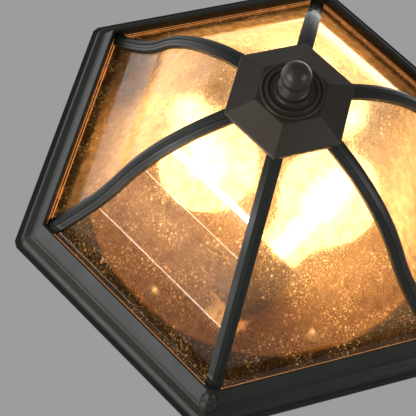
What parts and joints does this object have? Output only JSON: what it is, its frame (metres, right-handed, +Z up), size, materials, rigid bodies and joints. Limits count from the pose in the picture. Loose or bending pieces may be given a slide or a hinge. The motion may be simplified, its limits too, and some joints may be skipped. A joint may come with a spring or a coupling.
{
  "type": "flush mount ceiling light",
  "caption": "Hexagonal flush mount ceiling light: a drop-off cage of S-curved ribs and bent amber seeded glass under a ceiling pan, with tilted bulbs, hub cap and ball finial.",
  "frame": {"origin": "centre of the ceiling pan's top face, on the ceiling plane, midway between the two outlet box slots", "axes": "+Z up into the ceiling along the lamp's axis; +X along the crossbar, towards one corner of the hexagon; the cage hangs towards -Z"},
  "size_m": [0.3276, 0.2858, 0.158],
  "materials": {
    "bronze_paint": "dark bronze paint, satin",
    "seeded_glass": "amber seeded glass, slightly wavy",
    "frosted_glass": "soft white frosted bulb glass, lit warm",
    "base_aluminium": "rolled thread shell",
    "plated_steel": "zinc plated",
    "socket_phenolic": "moulded phenolic, semi-gloss",
    "green_steel": "green dyed ground screw",
    "brass": "rolled brass",
    "glass_wool": "glass fibre blanket",
    "white_enamel": "white reflector enamel"
  },
  "bodies": {
    "canopy": {"ceiling_pan": "bronze_paint", "crossbar": "plated_steel", "ground_screw": "green_steel", "fixture_screws": "plated_steel", "cap_nuts": "brass", "insulation_pad": "glass_wool", "reflector_dish": "white_enamel", "dish_rivets": "plated_steel", "cage_studs": "plated_steel", "socket_bracket_1": "plated_steel", "socket_bracket_2": "plated_steel", "socket_bracket_3": "plated_steel", "bracket_rivets": "plated_steel", "socket_1": "socket_phenolic", "socket_2": "socket_phenolic", "socket_3": "socket_phenolic", "screw_shells": "brass", "contact_springs": "brass"},
    "bulb_1": {"bulb_glass_1": "frosted_glass", "bulb_base_1": "base_aluminium"},
    "bulb_2": {"bulb_glass_2": "frosted_glass", "bulb_base_2": "base_aluminium"},
    "bulb_3": {"bulb_glass_3": "frosted_glass", "bulb_base_3": "base_aluminium"},
    "cage": {"rim": "bronze_paint", "rib_a": "bronze_paint", "rib_b": "bronze_paint", "rib_c": "bronze_paint", "rib_d": "bronze_paint", "rib_e": "bronze_paint", "rib_f": "bronze_paint", "glass_a": "seeded_glass", "glass_b": "seeded_glass", "glass_c": "seeded_glass", "glass_d": "seeded_glass", "glass_e": "seeded_glass", "glass_f": "seeded_glass", "glass_clips": "plated_steel", "clip_screws": "plated_steel", "hub_cap": "bronze_paint", "hub_plate": "plated_steel", "hub_nipple": "brass", "nipple_nut": "plated_steel", "step_washer": "bronze_paint"},
    "finial": {"finial": "bronze_paint"},
    "nut_c": {"ball_nut_c": "bronze_paint"},
    "nut_f": {"ball_nut_f": "bronze_paint"}
  },
  "joints": [
    {"name": "cage_drop", "type": "slide", "parent": "canopy", "child": "cage", "axis": [0, 0, -1], "range_m": [0, 0.12]},
    {"name": "finial_turn", "type": "hinge", "parent": "cage", "child": "finial", "pos_m": [0, 0, -0.14], "axis": [0, 0, 1], "continuous": true},
    {"name": "nut_c_turn", "type": "hinge", "parent": "cage", "child": "nut_c", "pos_m": [-0.07475, 0.12947, -0.0182], "axis": [0, 0, 1], "continuous": true},
    {"name": "nut_f_turn", "type": "hinge", "parent": "cage", "child": "nut_f", "pos_m": [0.07475, -0.12947, -0.0182], "axis": [0, 0, 1], "continuous": true},
    {"name": "bulb_1_turn", "type": "hinge", "parent": "canopy", "child": "bulb_1", "pos_m": [-0.02153, -0.03722, -0.062], "axis": [0.7912, -0.4568, 0.4067], "continuous": true},
    {"name": "bulb_2_turn", "type": "hinge", "parent": "canopy", "child": "bulb_2", "pos_m": [0.043, -0.00003, -0.062], "axis": [0, 0.9135, 0.4067], "continuous": true},
    {"name": "bulb_3_turn", "type": "hinge", "parent": "canopy", "child": "bulb_3", "pos_m": [-0.02147, 0.03725, -0.062], "axis": [-0.7912, -0.4568, 0.4067], "continuous": true}
  ]
}
